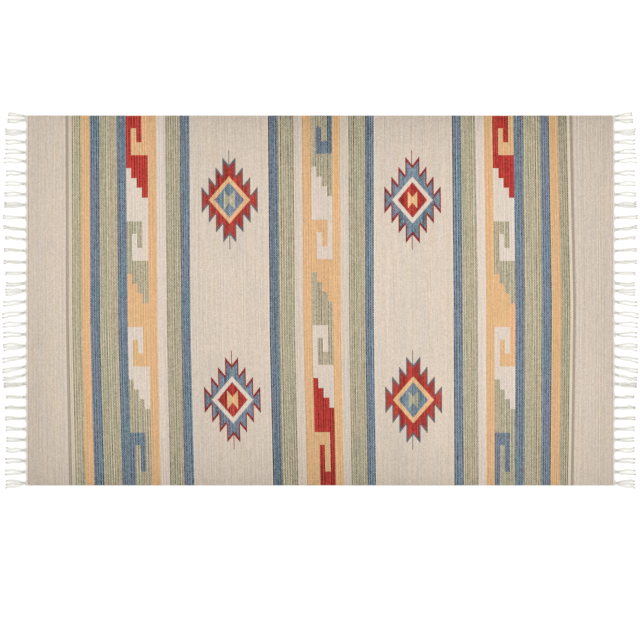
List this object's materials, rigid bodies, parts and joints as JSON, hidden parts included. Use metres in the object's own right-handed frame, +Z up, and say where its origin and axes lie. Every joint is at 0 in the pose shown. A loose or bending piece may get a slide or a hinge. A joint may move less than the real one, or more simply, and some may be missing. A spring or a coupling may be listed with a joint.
{
  "type": "flat-woven cotton rug with knotted end fringes",
  "caption": "Flat-woven cotton floor rug, oblong, with striped bands, stepped hooks and serrated medallions, and a knotted tassel fringe along both short ends.",
  "frame": {"origin": "on the floor, under the middle of the rug with its fringe", "axes": "+X along the warp towards the right-hand fringe, +Y along the weft towards the edge that is uppermost in the picture, +Z up"},
  "size_m": [1.5552, 0.919, 0.0054],
  "materials": {
    "woven_cotton": "matte weft-faced cotton weave in sand, sage, blue, orange, red and white",
    "fringe_cotton": "matte off-white twisted cotton"
  },
  "bodies": {
    "root": {"woven_field": "woven_cotton", "left_fringe": "fringe_cotton", "right_fringe": "fringe_cotton"}
  },
  "joints": []
}
